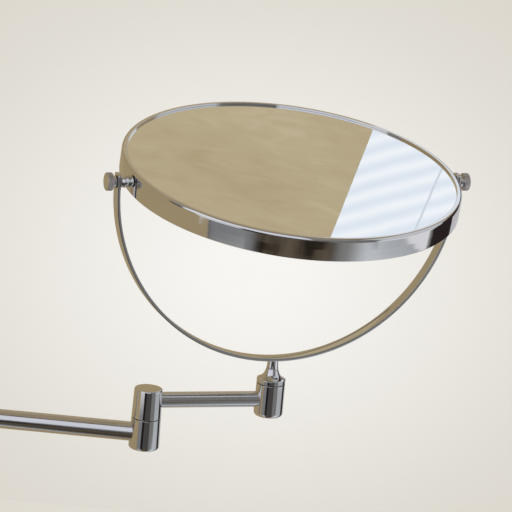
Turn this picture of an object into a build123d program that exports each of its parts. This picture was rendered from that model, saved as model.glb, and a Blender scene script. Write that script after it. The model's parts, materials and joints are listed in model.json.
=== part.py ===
from build123d import *
import math
import os

# Wall magnifying mirror on a folding double arm, in the pose of the photograph.
# Origin: centre of the wall plate on the wall, +X out of the wall, +Z up, millimetres.

os.makedirs("parts", exist_ok=True)

# Pose at rest, degrees
ELBOW_TURN = 19.0
YOKE_TURN = 2.5
MIRROR_TILT = 9.1

# Clearances
FIXED_GAP = 0.02
FACE_GAP = 0.05
RUNNING_GAP = 0.05
LOOSE_GAP = 0.30

# Wall plate, its cover and the stem
PLATE_R = 28.0
PLATE_T = 4.0
PLATE_EDGE = 0.5
SCREW_CIRCLE_R = 20.0
SCREW_COUNT = 3
FIRST_SCREW_ANGLE = 90.0
SCREW_HOLE_R = 2.3
SCREW_SINK_R = 4.4
COVER_WALL = 1.4
COVER_DEPTH = 14.0
COVER_SHOULDER = 5.0
COVER_GAP = 0.25
GRUB_R = 1.4
GRUB_X = 2.4
STEM_R = 6.0
STEM_FLANGE_R = 9.0
STEM_FLANGE_T = 2.0
STEM_EDGE = 0.3
STEM_BOLT_R = 3.0
STEM_BOLT_HEAD_R = 5.6
STEM_BOLT_LENGTH = 15.0
STEM_BOLT_SOCKET = 2.0
STEM_BOLT_SINK_ANGLE = 90.0
WALL_AXIS_X = 45.0

# Knuckles and the swivel barrel
LOWER_KNUCKLE_H = 19.1
LOWER_KNUCKLE_R = 9.25
UPPER_KNUCKLE_H = 18.0
UPPER_KNUCKLE_R = 8.45
SEAM_R = 8.85
BARREL_H = 20.4
BARREL_TOP_R = 8.7
BARREL_FOOT_R = 8.85
TOP_EDGE = 0.9
FOOT_EDGE = 1.6
BARREL_FOOT_EDGE = 2.2
SHORT_TUBE_RISE = 10.55
SHORT_TUBE_DROP = 10.1

# What turns inside each knuckle
PIN_R = 4.0
PIN_SEAT_DEPTH = 12.0
PIN_EDGE = 0.5
BUSH_WALL = 1.15
BUSH_FLANGE_INSET = 0.65
BUSH_FLANGE_T = 0.5
POCKET_R = 6.1
POCKET_DEPTH = 6.1
SPRING_T = 0.35
SPRING_RISE = 0.5
SCREW_R = 2.0
SCREW_LENGTH = 5.6
SCREW_DEPTH = SCREW_LENGTH + 1.4
SCREW_FLANGE_R = 5.5
SCREW_FLANGE_T = 1.2
SCREW_HEAD_R = 3.6
SCREW_HEAD_H = 1.5
SCREW_HEAD_EDGE = 0.5
HEX_KEY = 2.5
CAP_T = 1.5
CAP_RECESS = 0.2
CAP_EDGE = 0.3

# Arms
LONG_ARM = 150.0
LONG_TUBE_R = 5.75
SHORT_ARM = 76.5
SHORT_TUBE_R = 4.75
TUBE_WALL = 1.0
TUBE_SEAT_R = 6.4

# Yoke
STRIP_W = 8.2
STRIP_T = 2.0
PIVOT_SPACE = 4.8
YOKE_DROP = 2.2
EAR_RISE = 5.2
EAR_CORNER = 2.0
STRIP_EDGE = 0.35
COLLAR_H = 2.6
COLLAR_R = 8.7
COLLAR_EDGE = 0.3
NECK_H = 11.6
NECK_TOP_R = 3.25
NECK_WAIST_R = 4.6
NECK_WAIST_H = 5.1

# Mirror head
RIM_R = 101.9
RIM_WALL = 1.2
RIM_ABOVE = 9.4
RIM_BELOW = 4.6
LIP_W = 3.2
LIP_T = 1.2
LIP_ROUND = 1.15
LIP_INNER_ROUND = 0.5
BAND_FOOT_ROUND = 0.55
FRONT_GLASS_T = 2.5
BACK_GLASS_T = 2.2
BACK_GLASS_SAG = 4.0
BACKING_T = 1.0
SPACER_W = 5.0
RING_LIP_T = 1.3
RING_UPSTAND = 1.0
RING_WALL = 0.8

# Pivots and thumb screws
BOSS_END_R = 3.1
BOSS_MID_R = 3.6
BOSS_FLOOR = 0.9
BOSS_TAIL_R = 1.7
RIVET_HEAD_R = 2.1
RIVET_HEAD_T = 0.6
STUD_R = 2.0
EAR_BUSH_WALL = 0.8
EAR_BUSH_FLANGE_R = 3.6
EAR_BUSH_FLANGE_T = 0.5
KNOB_R = 5.4
KNOB_T = 3.7
KNOB_EDGE = 0.5
HUB_R = 3.5
HUB_LENGTH = 2.0

# Sizes that follow from the ones above
BUSH_R = PIN_R + RUNNING_GAP + BUSH_WALL
YOKE_INNER_R = RIM_R + PIVOT_SPACE
BOSS_LENGTH = PIVOT_SPACE - EAR_BUSH_FLANGE_T - FACE_GAP - LOOSE_GAP

# Heights of the joints, counted up from the stem on the wall
WALL_SEAM_Z = LOWER_KNUCKLE_H / 2
LONG_TUBE_Z = WALL_SEAM_Z + BUSH_FLANGE_T + LOWER_KNUCKLE_H / 2
ELBOW_SEAM_Z = LONG_TUBE_Z + LOWER_KNUCKLE_H / 2
SHORT_TUBE_Z = ELBOW_SEAM_Z + BUSH_FLANGE_T + SHORT_TUBE_RISE
SWIVEL_SEAM_Z = SHORT_TUBE_Z + SHORT_TUBE_DROP
COLLAR_Z = SWIVEL_SEAM_Z + BUSH_FLANGE_T
STRIP_UNDER_Z = COLLAR_Z + COLLAR_H + NECK_H
PIVOT_Z = STRIP_UNDER_Z + STRIP_T + YOKE_INNER_R + YOKE_DROP

# Places of the upright axes in plan
ELBOW_X = WALL_AXIS_X + LONG_ARM
SWIVEL_X = ELBOW_X + SHORT_ARM * math.cos(math.radians(ELBOW_TURN))
SWIVEL_Y = SHORT_ARM * math.sin(math.radians(ELBOW_TURN))


def direction(degrees):
    """Level direction, counted from +X towards +Y."""
    return Vector(math.cos(math.radians(degrees)), math.sin(math.radians(degrees)), 0)


def level(x, y, z):
    """Level plane at a joint, its normal up."""
    return Plane((x, y, z), x_dir=(1, 0, 0), z_dir=(0, 0, 1))


def section(place):
    """Plane of a turned section: its first axis is the radius, its second the turning axis."""
    return Plane(place.origin, x_dir=place.x_dir, z_dir=-place.y_dir)


def save(piece, label):
    """Label a finished piece and write its file."""
    piece.part.label = label
    export_step(piece.part, "parts/" + label + ".step")


LONG_DIR = Vector(1, 0, 0)
SHORT_DIR = direction(ELBOW_TURN)
YOKE_DIR = direction(ELBOW_TURN + YOKE_TURN)
YOKE_SIDE = direction(ELBOW_TURN + YOKE_TURN + 90)
HEAD_NORMAL = Vector(0, 0, 1).rotate(Axis((0, 0, 0), YOKE_DIR), MIRROR_TILT)
PIVOT = Vector(SWIVEL_X, SWIVEL_Y, PIVOT_Z)
WALL_PLACE = Plane((0, 0, 0), x_dir=(0, 1, 0), z_dir=(1, 0, 0))
HEAD_PLACE = Plane(PIVOT, x_dir=YOKE_DIR, z_dir=HEAD_NORMAL)
YOKE_PLACE = Plane(PIVOT, x_dir=YOKE_DIR, z_dir=-YOKE_SIDE)


def make_wall_plate():
    """Steel disc with countersunk screw holes, and the stem bolt's seat in its back."""
    with BuildPart(WALL_PLACE) as plate:
        Cylinder(PLATE_R, PLATE_T, align=(Align.CENTER, Align.CENTER, Align.MIN))
        chamfer(plate.faces().sort_by(Axis.X)[-1].edges(), PLATE_EDGE)
        with Locations((0, 0, PLATE_T)):
            with PolarLocations(SCREW_CIRCLE_R, SCREW_COUNT, start_angle=FIRST_SCREW_ANGLE):
                CounterSinkHole(SCREW_HOLE_R, SCREW_SINK_R)
        with Locations(Plane((0, 0, 0), z_dir=(0, 0, -1))):
            CounterSinkHole(
                STEM_BOLT_R + FACE_GAP, STEM_BOLT_HEAD_R + FACE_GAP, counter_sink_angle=STEM_BOLT_SINK_ANGLE
            )
    save(plate, "wall_plate")


def make_wall_cover():
    """Thin round cup over the plate, its shoulder rounded, its middle open for the stem."""
    outer_r = PLATE_R + COVER_GAP + COVER_WALL
    with BuildPart(WALL_PLACE.offset(LOOSE_GAP)) as cover:
        Cylinder(outer_r, COVER_DEPTH, align=(Align.CENTER, Align.CENTER, Align.MIN))
        fillet(cover.faces().sort_by(Axis.X)[-1].edges(), COVER_SHOULDER)
        offset(amount=-COVER_WALL, openings=cover.faces().sort_by(Axis.X)[0])
        with Locations((0, 0, COVER_DEPTH)):
            Cylinder(STEM_R + LOOSE_GAP, 4 * COVER_WALL, mode=Mode.SUBTRACT)
        with Locations(Plane((0, -outer_r, GRUB_X - LOOSE_GAP), z_dir=(0, -1, 0))):
            Cylinder(GRUB_R + FIXED_GAP, 4 * COVER_WALL, mode=Mode.SUBTRACT)
    save(cover, "wall_cover")


def make_cover_grub_screw():
    """Set screw under the cover that bites on the plate's edge."""
    length = COVER_GAP + COVER_WALL - FACE_GAP
    with BuildPart(Plane((GRUB_X, 0, -PLATE_R - FACE_GAP), z_dir=(0, 0, -1))) as grub:
        Cylinder(GRUB_R, length, align=(Align.CENTER, Align.CENTER, Align.MIN))
        with BuildSketch(grub.faces().sort_by(Axis.Z)[0]):
            RegularPolygon(GRUB_R / 2, 6)
        extrude(amount=-length / 2, mode=Mode.SUBTRACT)
    save(grub, "cover_grub_screw")


def make_wall_stem():
    """Turned stem from the plate to the wall knuckle, drilled for its bolt."""
    start = PLATE_T
    length = WALL_AXIS_X - TUBE_SEAT_R - FACE_GAP - start
    with BuildPart(WALL_PLACE.offset(start)) as stem:
        Cylinder(STEM_R, length, align=(Align.CENTER, Align.CENTER, Align.MIN))
        Cylinder(STEM_FLANGE_R, STEM_FLANGE_T, align=(Align.CENTER, Align.CENTER, Align.MIN))
        chamfer(stem.faces().sort_by(Axis.X)[-1].edges(), STEM_EDGE)
        with Locations(Plane((0, 0, 0), z_dir=(0, 0, -1))):
            Hole(STEM_BOLT_R + FIXED_GAP, STEM_BOLT_LENGTH)
    save(stem, "wall_stem")


def make_stem_bolt():
    """Countersunk bolt from the back of the plate into the stem."""
    sink = (STEM_BOLT_HEAD_R - STEM_BOLT_R) / math.tan(math.radians(STEM_BOLT_SINK_ANGLE / 2))
    with BuildPart() as bolt:
        with BuildSketch(section(WALL_PLACE)):
            with BuildLine():
                Polyline(
                    (0, FACE_GAP),
                    (STEM_BOLT_HEAD_R, FACE_GAP),
                    (STEM_BOLT_R, sink + FACE_GAP),
                    (STEM_BOLT_R, STEM_BOLT_LENGTH),
                    (0, STEM_BOLT_LENGTH + STEM_BOLT_R / 2),
                    close=True,
                )
            make_face()
        revolve(axis=Axis((0, 0, 0), (1, 0, 0)))
        with BuildSketch(WALL_PLACE.offset(FACE_GAP)):
            RegularPolygon(STEM_BOLT_R / 2, 6)
        extrude(amount=STEM_BOLT_SOCKET, mode=Mode.SUBTRACT)
    save(bolt, "stem_bolt")


def lower_knuckle(label, foot, height, foot_r, seam_r, foot_edge, tube_dir, tube_z, tube_r):
    """Barrel that takes a bush from above and the retaining screw's pocket from below."""
    with BuildPart(foot) as knuckle:
        with BuildSketch(section(foot)):
            with BuildLine():
                Polyline((0, 0), (foot_r, 0), (seam_r, height), (0, height), close=True)
            make_face()
        revolve(axis=Axis(foot.origin, (0, 0, 1)))
        fillet(knuckle.faces().sort_by(Axis.Z)[0].edges(), foot_edge)
        with Locations((0, 0, height)):
            Hole(BUSH_R + FIXED_GAP, height)
        Cylinder(POCKET_R, POCKET_DEPTH, align=(Align.CENTER, Align.CENTER, Align.MIN), mode=Mode.SUBTRACT)
        with Locations(Plane(Vector(0, 0, tube_z) + tube_dir * TUBE_SEAT_R, z_dir=tube_dir)):
            Cylinder(
                tube_r + FIXED_GAP, foot_r, align=(Align.CENTER, Align.CENTER, Align.MIN), mode=Mode.SUBTRACT
            )
    save(knuckle, label)


def upper_knuckle(label, seam, height, seam_r, top_r, tube_dir, tube_z, tube_r):
    """Closed cap-like barrel on top of a joint, bored from below for its pin."""
    with BuildPart(seam) as knuckle:
        with BuildSketch(section(seam)):
            with BuildLine():
                Polyline((0, 0), (seam_r, 0), (top_r, height), (0, height), close=True)
            make_face()
        revolve(axis=Axis(seam.origin, (0, 0, 1)))
        fillet(knuckle.faces().sort_by(Axis.Z)[-1].edges(), TOP_EDGE)
        Cylinder(
            PIN_R + FIXED_GAP, PIN_SEAT_DEPTH, align=(Align.CENTER, Align.CENTER, Align.MIN), mode=Mode.SUBTRACT
        )
        with Locations(Plane(Vector(0, 0, tube_z) + tube_dir * TUBE_SEAT_R, z_dir=tube_dir)):
            Cylinder(
                tube_r + FIXED_GAP, seam_r, align=(Align.CENTER, Align.CENTER, Align.MIN), mode=Mode.SUBTRACT
            )
    save(knuckle, label)


def make_tube(label, start, along, length, radius):
    """Thin-walled arm tube between the seats of its two knuckles."""
    first = start + along * (TUBE_SEAT_R + FACE_GAP)
    run = length - 2 * (TUBE_SEAT_R + FACE_GAP)
    with BuildPart(Plane(first, z_dir=along)) as tube:
        Cylinder(radius, run, align=(Align.CENTER, Align.CENTER, Align.MIN))
        Cylinder(radius - TUBE_WALL, run, align=(Align.CENTER, Align.CENTER, Align.MIN), mode=Mode.SUBTRACT)
    save(tube, label)


def make_joint_pin(label, seam, bush_length):
    """Turned pin that hangs from the upper knuckle and turns in the bush below."""
    top = PIN_SEAT_DEPTH - FACE_GAP
    reach = bush_length + SPRING_T + SPRING_RISE + FACE_GAP
    with BuildPart(seam.offset(-BUSH_FLANGE_T - reach)) as pin:
        Cylinder(PIN_R, BUSH_FLANGE_T + reach + top, align=(Align.CENTER, Align.CENTER, Align.MIN))
        chamfer(pin.faces().sort_by(Axis.Z)[-1].edges(), PIN_EDGE)
        Cylinder(
            SCREW_R + FIXED_GAP, SCREW_DEPTH, align=(Align.CENTER, Align.CENTER, Align.MIN), mode=Mode.SUBTRACT
        )
    save(pin, label)


def make_bush(label, seam, bush_length):
    """Flanged nylon bush: the sleeve lines the knuckle, the flange is the dark line at the seam."""
    with BuildPart(seam.offset(-bush_length)) as bush:
        Cylinder(BUSH_R, bush_length + FACE_GAP, align=(Align.CENTER, Align.CENTER, Align.MIN))
        with Locations((0, 0, bush_length + FACE_GAP / 2)):
            Cylinder(
                SEAM_R - BUSH_FLANGE_INSET,
                BUSH_FLANGE_T - FACE_GAP,
                align=(Align.CENTER, Align.CENTER, Align.MIN),
            )
        with Locations((0, 0, bush_length + BUSH_FLANGE_T)):
            Hole(PIN_R + RUNNING_GAP, bush_length + 2 * BUSH_FLANGE_T)
    save(bush, label)


def make_spring_washer(label, shoulder):
    """Coned spring washer that keeps the joint stiff, between the shoulder and the screw."""
    inner_r = PIN_R + FACE_GAP
    outer_r = POCKET_R - LOOSE_GAP
    top = -FACE_GAP
    with BuildPart() as washer:
        with BuildSketch(section(shoulder)):
            with BuildLine():
                Polyline(
                    (outer_r, top),
                    (outer_r, top - SPRING_T),
                    (inner_r, top - SPRING_T - SPRING_RISE),
                    (inner_r, top - SPRING_RISE),
                    close=True,
                )
            make_face()
        revolve(axis=Axis(shoulder.origin, (0, 0, 1)))
    save(washer, label)


def make_retaining_screw(label, shoulder):
    """Flanged socket screw up into the pin, which carries the spring washer."""
    under = -(SPRING_T + SPRING_RISE + 2 * FACE_GAP)
    flange = shoulder.offset(under - SCREW_FLANGE_T)
    with BuildPart(flange) as screw:
        Cylinder(SCREW_FLANGE_R, SCREW_FLANGE_T, align=(Align.CENTER, Align.CENTER, Align.MIN))
        Cylinder(SCREW_HEAD_R, SCREW_HEAD_H, align=(Align.CENTER, Align.CENTER, Align.MAX))
        fillet(screw.faces().sort_by(Axis.Z)[0].edges(), SCREW_HEAD_EDGE)
        with Locations((0, 0, SCREW_FLANGE_T)):
            Cylinder(SCREW_R, SCREW_LENGTH, align=(Align.CENTER, Align.CENTER, Align.MIN))
        with BuildSketch(flange.offset(-SCREW_HEAD_H)):
            RegularPolygon(HEX_KEY / 2, 6, major_radius=False)
        extrude(amount=SCREW_HEAD_H, mode=Mode.SUBTRACT)
    save(screw, label)


def make_bottom_cap(label, foot):
    """Push-in disc that closes the pocket under a joint."""
    with BuildPart(foot.offset(CAP_RECESS)) as cap:
        Cylinder(POCKET_R - FIXED_GAP, CAP_T, align=(Align.CENTER, Align.CENTER, Align.MIN))
        chamfer(cap.faces().sort_by(Axis.Z)[0].edges(), CAP_EDGE)
    save(cap, label)


def make_yoke_band():
    """Half ring bent from flat strip, with straight ears that carry the mirror's pivots."""
    middle_r = YOKE_INNER_R + STRIP_T / 2
    with BuildPart() as band:
        with BuildSketch(YOKE_PLACE):
            with BuildLine():
                Line((-middle_r, EAR_RISE), (-middle_r, -YOKE_DROP))
                CenterArc((0, -YOKE_DROP), middle_r, 180, 180)
                Line((middle_r, -YOKE_DROP), (middle_r, EAR_RISE))
            trace(line_width=STRIP_T)
        extrude(amount=STRIP_W / 2, both=True)
        ends = band.faces().filter_by(Axis.Z).sort_by(Axis.Z)[-2:]
        corners = ends.edges().filter_by(Axis((0, 0, 0), YOKE_DIR))
        fillet(corners, EAR_CORNER)
        sides = band.faces().filter_by(Axis((0, 0, 0), YOKE_SIDE))
        fillet(sides.edges(), STRIP_EDGE)
        with Locations(Plane(PIVOT, z_dir=YOKE_DIR)):
            Cylinder(
                STUD_R + 2 * RUNNING_GAP + EAR_BUSH_WALL + FIXED_GAP,
                2 * (middle_r + STRIP_T),
                mode=Mode.SUBTRACT,
            )
    save(band, "yoke_band")


def make_yoke_neck(bush_length):
    """Turned neck under the yoke: coved flare, collar, and the shank that turns in the barrel."""
    place = level(SWIVEL_X, SWIVEL_Y, COLLAR_Z)
    reach = bush_length + SPRING_T + SPRING_RISE + FACE_GAP + BUSH_FLANGE_T
    with BuildPart() as neck:
        with BuildSketch(section(place)):
            with BuildLine():
                Polyline(
                    (0, COLLAR_H + NECK_H),
                    (0, -reach),
                    (PIN_R, -reach),
                    (PIN_R, 0),
                    (COLLAR_R, 0),
                    (COLLAR_R, COLLAR_H),
                )
                Spline(
                    (COLLAR_R, COLLAR_H),
                    (NECK_WAIST_R, COLLAR_H + NECK_WAIST_H),
                    (NECK_TOP_R, COLLAR_H + NECK_H),
                    tangents=((-1, 0.45), (0, 1)),
                )
                Line((NECK_TOP_R, COLLAR_H + NECK_H), (0, COLLAR_H + NECK_H))
            make_face()
        revolve(axis=Axis(place.origin, (0, 0, 1)))
        rims = neck.edges().filter_by(GeomType.CIRCLE).filter_by(lambda e: abs(e.radius - COLLAR_R) < 0.01)
        fillet(rims, COLLAR_EDGE)
        with Locations(place.offset(-reach)):
            Cylinder(
                SCREW_R + FIXED_GAP, SCREW_DEPTH, align=(Align.CENTER, Align.CENTER, Align.MIN), mode=Mode.SUBTRACT
            )
    save(neck, "yoke_neck")


def head_ring(points, rounds=()):
    """Ring of the mirror head turned from a section of radius and height, with rounded corners."""
    with BuildPart() as ring:
        with BuildSketch(section(HEAD_PLACE)) as profile:
            with BuildLine():
                Polyline(*points, close=True)
            make_face()
            for corner, size in rounds:
                fillet(profile.vertices().sort_by_distance(Vector(*points[corner]))[0], size)
        revolve(axis=Axis(PIVOT, HEAD_NORMAL))
    return ring


def make_rim():
    """Chromed band with a rolled front lip, drilled at both pivots."""
    inner_r = RIM_R - RIM_WALL
    lip_r = RIM_R - LIP_W
    points = [
        (inner_r, -RIM_BELOW),
        (RIM_R, -RIM_BELOW),
        (RIM_R, RIM_ABOVE),
        (lip_r, RIM_ABOVE),
        (lip_r, RIM_ABOVE - LIP_T),
        (inner_r, RIM_ABOVE - LIP_T),
    ]
    rounds = [(1, BAND_FOOT_ROUND), (2, LIP_ROUND), (3, LIP_INNER_ROUND)]
    with BuildPart() as rim:
        add(head_ring(points, rounds).part)
        with Locations(Plane(PIVOT, z_dir=YOKE_DIR)):
            Cylinder(BOSS_TAIL_R + FIXED_GAP, 2 * RIM_R + STRIP_T, mode=Mode.SUBTRACT)
    save(rim, "mirror_rim")


def dished_height(radius):
    """Height of the dished glass's upper face above the pivots."""
    edge_r = RIM_R - RIM_WALL - RING_WALL - 3 * FACE_GAP
    bend_r = (edge_r**2 + BACK_GLASS_SAG**2) / (2 * BACK_GLASS_SAG)
    crown = -RIM_BELOW + RING_LIP_T + FACE_GAP + BACK_GLASS_SAG + BACK_GLASS_T
    return crown - bend_r + math.sqrt(bend_r**2 - radius**2)


def make_glasses():
    """Flat front glass, and the dished back glass that magnifies, seen from below."""
    glass_r = RIM_R - RIM_WALL - 2 * FACE_GAP
    front_top = RIM_ABOVE - LIP_T - FACE_GAP
    with BuildPart(HEAD_PLACE.offset(front_top - FRONT_GLASS_T)) as front:
        Cylinder(glass_r, FRONT_GLASS_T, align=(Align.CENTER, Align.CENTER, Align.MIN))
    save(front, "front_glass")
    dished_r = glass_r - RING_WALL - FACE_GAP
    edge = -RIM_BELOW + RING_LIP_T + FACE_GAP
    with BuildPart() as back:
        with BuildSketch(section(HEAD_PLACE)):
            with BuildLine():
                TangentArc((0, edge + BACK_GLASS_SAG), (dished_r, edge), tangent=(1, 0))
                Line((dished_r, edge), (dished_r, edge + BACK_GLASS_T))
                TangentArc(
                    (0, edge + BACK_GLASS_SAG + BACK_GLASS_T), (dished_r, edge + BACK_GLASS_T), tangent=(1, 0)
                )
                Line((0, edge + BACK_GLASS_SAG + BACK_GLASS_T), (0, edge + BACK_GLASS_SAG))
            make_face()
        revolve(axis=Axis(PIVOT, HEAD_NORMAL))
    save(back, "magnifying_glass")


def make_head_fillings():
    """Backing disc behind the flat glass, spacer between the glasses, and the back ring."""
    inside_r = RIM_R - RIM_WALL - RIVET_HEAD_T - 2 * FACE_GAP
    disc_top = RIM_ABOVE - LIP_T - FRONT_GLASS_T - 2 * FACE_GAP
    with BuildPart(HEAD_PLACE.offset(disc_top - BACKING_T)) as disc:
        Cylinder(inside_r, BACKING_T, align=(Align.CENTER, Align.CENTER, Align.MIN))
    save(disc, "backing_disc")
    head = disc_top - BACKING_T - FACE_GAP
    spacer = head_ring(
        [
            (inside_r - SPACER_W, dished_height(inside_r - SPACER_W) + FACE_GAP),
            (inside_r, dished_height(inside_r) + FACE_GAP),
            (inside_r, head),
            (inside_r - SPACER_W, head),
        ],
    )
    save(spacer, "spacer_ring")
    outer_r = RIM_R - RIM_WALL - FACE_GAP
    lip_r = RIM_R - LIP_W
    low = -RIM_BELOW
    ring = head_ring(
        [
            (lip_r, low),
            (outer_r, low),
            (outer_r, low + RING_LIP_T + RING_UPSTAND),
            (outer_r - RING_WALL, low + RING_LIP_T + RING_UPSTAND),
            (outer_r - RING_WALL, low + RING_LIP_T),
            (lip_r, low + RING_LIP_T),
        ],
        [(0, LIP_INNER_ROUND / 2)],
    )
    save(ring, "back_ring")


def turned_about_pivot(side, points):
    """Section of radius and distance from the mirror's middle, turned about the pivot axis."""
    along = YOKE_DIR * side
    plane = Plane(PIVOT, x_dir=(0, 0, 1), z_dir=Vector(0, 0, 1).cross(along))
    with BuildPart() as piece:
        with BuildSketch(plane):
            with BuildLine():
                Polyline(*points, close=True)
            make_face()
        revolve(axis=Axis(PIVOT, along))
    return piece


def make_pivot_bosses():
    """Rounded bosses riveted to the rim, each drilled for the thumb screw's stud."""
    with BuildPart() as bosses:
        for side in (-1, 1):
            along = YOKE_DIR * side
            plane = Plane(PIVOT, x_dir=(0, 0, 1), z_dir=Vector(0, 0, 1).cross(along))
            with BuildSketch(plane):
                with BuildLine():
                    inner = RIM_R - RIM_WALL - RIVET_HEAD_T
                    end = RIM_R + BOSS_LENGTH
                    Polyline(
                        (0, RIM_R + BOSS_FLOOR),
                        (0, inner),
                        (RIVET_HEAD_R, inner),
                        (RIVET_HEAD_R, RIM_R - RIM_WALL - FACE_GAP),
                        (BOSS_TAIL_R, RIM_R - RIM_WALL - FACE_GAP),
                        (BOSS_TAIL_R, RIM_R),
                        (BOSS_END_R, RIM_R),
                    )
                    ThreePointArc((BOSS_END_R, RIM_R), (BOSS_MID_R, (RIM_R + end) / 2), (BOSS_END_R, end))
                    Polyline(
                        (BOSS_END_R, end),
                        (STUD_R + RUNNING_GAP, end),
                        (STUD_R + RUNNING_GAP, RIM_R + BOSS_FLOOR),
                        (0, RIM_R + BOSS_FLOOR),
                    )
                make_face()
            revolve(axis=Axis(PIVOT, along))
    save(bosses, "pivot_bosses")


def make_ear_bushes():
    """Nylon top-hat bushes in the yoke's ears, flanges towards the mirror."""
    hole_r = STUD_R + 2 * RUNNING_GAP
    flange = YOKE_INNER_R - FACE_GAP
    outside = YOKE_INNER_R + STRIP_T
    section_points = [
        (hole_r, flange - EAR_BUSH_FLANGE_T),
        (EAR_BUSH_FLANGE_R, flange - EAR_BUSH_FLANGE_T),
        (EAR_BUSH_FLANGE_R, flange),
        (hole_r + EAR_BUSH_WALL, flange),
        (hole_r + EAR_BUSH_WALL, outside),
        (hole_r, outside),
    ]
    with BuildPart() as bushes:
        for side in (-1, 1):
            add(turned_about_pivot(side, section_points).part)
    save(bushes, "ear_bushes")


def make_knob_washers():
    """Nylon washers under the thumb screws."""
    inner = YOKE_INNER_R + STRIP_T + FACE_GAP
    hole_r = STUD_R + 2 * RUNNING_GAP
    ring = [
        (hole_r, inner),
        (EAR_BUSH_FLANGE_R, inner),
        (EAR_BUSH_FLANGE_R, inner + EAR_BUSH_FLANGE_T),
        (hole_r, inner + EAR_BUSH_FLANGE_T),
    ]
    with BuildPart() as washers:
        for side in (-1, 1):
            add(turned_about_pivot(side, ring).part)
    save(washers, "knob_washers")


def make_knob(label, side):
    """Thumb screw: thick round head, short hub and the stud that pins the mirror."""
    hub = YOKE_INNER_R + STRIP_T + EAR_BUSH_FLANGE_T + 2 * FACE_GAP
    face = hub + HUB_LENGTH
    points = [
        (0, RIM_R + BOSS_FLOOR + FACE_GAP),
        (STUD_R, RIM_R + BOSS_FLOOR + FACE_GAP),
        (STUD_R, hub),
        (HUB_R, hub),
        (HUB_R, face),
        (KNOB_R - KNOB_EDGE, face),
        (KNOB_R, face + KNOB_EDGE),
        (KNOB_R, face + KNOB_T - KNOB_EDGE),
        (KNOB_R - KNOB_EDGE, face + KNOB_T),
        (0, face + KNOB_T),
    ]
    save(turned_about_pivot(side, points), label)


def joint_hardware(joint, foot, seam, height):
    """The inner pieces that every upright joint repeats."""
    bush_length = height - POCKET_DEPTH
    shoulder = foot.offset(POCKET_DEPTH)
    make_bush(joint + "_bush", seam, bush_length)
    make_spring_washer(joint + "_spring_washer", shoulder)
    make_retaining_screw(joint + "_retaining_screw", shoulder)
    make_bottom_cap(joint + "_bottom_cap", foot)


make_wall_plate()
make_wall_cover()
make_cover_grub_screw()
make_wall_stem()
make_stem_bolt()

# Wall joint: the bracket's knuckle below, the long arm's knuckle on top of it
wall_foot = level(WALL_AXIS_X, 0, WALL_SEAM_Z - LOWER_KNUCKLE_H)
wall_seam = level(WALL_AXIS_X, 0, WALL_SEAM_Z)
lower_knuckle(
    "wall_knuckle", wall_foot, LOWER_KNUCKLE_H, LOWER_KNUCKLE_R, SEAM_R, FOOT_EDGE,
    -LONG_DIR, LOWER_KNUCKLE_H / 2, STEM_R,
)
upper_knuckle(
    "arm_wall_knuckle", wall_seam.offset(BUSH_FLANGE_T), LOWER_KNUCKLE_H, SEAM_R, UPPER_KNUCKLE_R,
    LONG_DIR, LOWER_KNUCKLE_H / 2, LONG_TUBE_R,
)
make_joint_pin("wall_pin", wall_seam.offset(BUSH_FLANGE_T), LOWER_KNUCKLE_H - POCKET_DEPTH)
joint_hardware("wall", wall_foot, wall_seam, LOWER_KNUCKLE_H)
make_tube("long_arm_tube", Vector(WALL_AXIS_X, 0, LONG_TUBE_Z), LONG_DIR, LONG_ARM, LONG_TUBE_R)

# Elbow: the long arm's knuckle below, the short arm's knuckle on top of it
elbow_foot = level(ELBOW_X, 0, ELBOW_SEAM_Z - LOWER_KNUCKLE_H)
elbow_seam = level(ELBOW_X, 0, ELBOW_SEAM_Z)
lower_knuckle(
    "elbow_lower_knuckle", elbow_foot, LOWER_KNUCKLE_H, LOWER_KNUCKLE_R, SEAM_R, FOOT_EDGE,
    -LONG_DIR, LOWER_KNUCKLE_H / 2, LONG_TUBE_R,
)
upper_knuckle(
    "elbow_upper_knuckle", elbow_seam.offset(BUSH_FLANGE_T), UPPER_KNUCKLE_H, SEAM_R, UPPER_KNUCKLE_R,
    SHORT_DIR, SHORT_TUBE_RISE, SHORT_TUBE_R,
)
make_joint_pin("elbow_pin", elbow_seam.offset(BUSH_FLANGE_T), LOWER_KNUCKLE_H - POCKET_DEPTH)
joint_hardware("elbow", elbow_foot, elbow_seam, LOWER_KNUCKLE_H)
make_tube("short_arm_tube", Vector(ELBOW_X, 0, SHORT_TUBE_Z), SHORT_DIR, SHORT_ARM, SHORT_TUBE_R)

# Swivel: the short arm's barrel, with the yoke's shank turning in it
swivel_foot = level(SWIVEL_X, SWIVEL_Y, SWIVEL_SEAM_Z - BARREL_H)
swivel_seam = level(SWIVEL_X, SWIVEL_Y, SWIVEL_SEAM_Z)
lower_knuckle(
    "swivel_barrel", swivel_foot, BARREL_H, BARREL_FOOT_R, BARREL_TOP_R, BARREL_FOOT_EDGE,
    -SHORT_DIR, BARREL_H - SHORT_TUBE_DROP, SHORT_TUBE_R,
)
joint_hardware("swivel", swivel_foot, swivel_seam, BARREL_H)

make_yoke_neck(BARREL_H - POCKET_DEPTH)
make_yoke_band()
make_rim()
make_glasses()
make_head_fillings()
make_pivot_bosses()
make_ear_bushes()
make_knob_washers()
make_knob("left_knob", -1)
make_knob("right_knob", 1)
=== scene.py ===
import json
import math

import bmesh
import bpy
from mathutils import Matrix, Vector


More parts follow.
